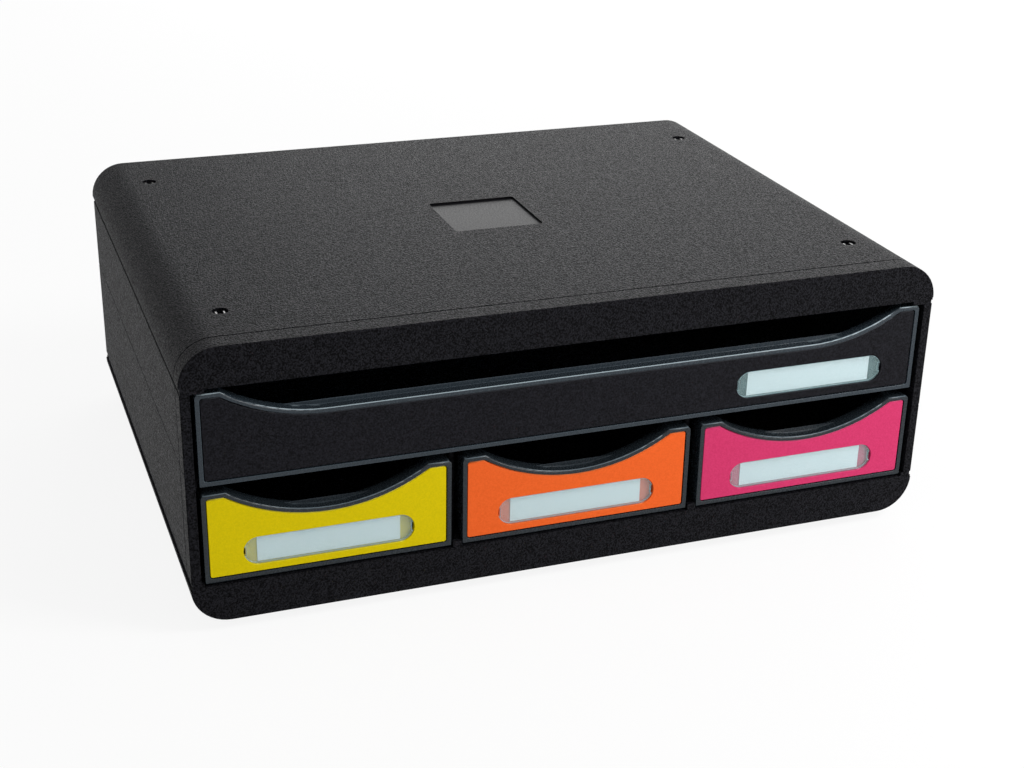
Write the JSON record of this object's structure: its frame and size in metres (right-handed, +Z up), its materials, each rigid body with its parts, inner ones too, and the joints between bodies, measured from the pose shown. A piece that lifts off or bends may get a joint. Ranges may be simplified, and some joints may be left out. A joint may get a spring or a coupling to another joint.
{
  "type": "desk drawer box",
  "caption": "Landscape desk drawer box with a wide scooped drawer over a row of narrow ones, label windows, rounded covers and stacking holes in the top.",
  "frame": {"origin": "middle of the footprint at the level of the feet", "axes": "+X to the right seen from the front, +Y to the back, +Z up; the drawers pull out towards -Y"},
  "size_m": [0.354, 0.268, 0.133],
  "materials": {
    "case_black": "finely grained satin moulding",
    "socket_black": "smooth gloss",
    "foot_rubber": "matt",
    "drawer_slate": "smooth satin",
    "plate_black": "fine grain, satin",
    "plate_yellow": "fine grain, satin",
    "plate_orange": "fine grain, satin",
    "plate_pink": "fine grain, satin",
    "window_clear": "clear gloss",
    "card_white": "matt card"
  },
  "bodies": {
    "case": {"top_cover": "case_black", "bottom_cover": "case_black", "left_upper_panel": "case_black", "left_lower_panel": "case_black", "right_upper_panel": "case_black", "right_lower_panel": "case_black", "middle_shelf": "case_black", "lower_deck": "case_black", "left_divider": "case_black", "right_divider": "case_black", "back_panel": "case_black", "stacking_sockets": "socket_black", "feet": "foot_rubber"},
    "wide_drawer": {"wide_tray": "drawer_slate", "wide_front_plate": "plate_black", "wide_label_window": "window_clear", "wide_label_card": "card_white"},
    "yellow_drawer": {"yellow_tray": "drawer_slate", "yellow_front_plate": "plate_yellow", "yellow_label_window": "window_clear", "yellow_label_card": "card_white"},
    "orange_drawer": {"orange_tray": "drawer_slate", "orange_front_plate": "plate_orange", "orange_label_window": "window_clear", "orange_label_card": "card_white"},
    "pink_drawer": {"pink_tray": "drawer_slate", "pink_front_plate": "plate_pink", "pink_label_window": "window_clear", "pink_label_card": "card_white"}
  },
  "joints": [
    {"name": "wide_drawer_slide", "type": "slide", "parent": "case", "child": "wide_drawer", "axis": [0, -1, 0], "range_m": [0, 0.19]},
    {"name": "yellow_drawer_slide", "type": "slide", "parent": "case", "child": "yellow_drawer", "axis": [0, -1, 0], "range_m": [0, 0.19]},
    {"name": "orange_drawer_slide", "type": "slide", "parent": "case", "child": "orange_drawer", "axis": [0, -1, 0], "range_m": [0, 0.19]},
    {"name": "pink_drawer_slide", "type": "slide", "parent": "case", "child": "pink_drawer", "axis": [0, -1, 0], "range_m": [0, 0.19]}
  ]
}
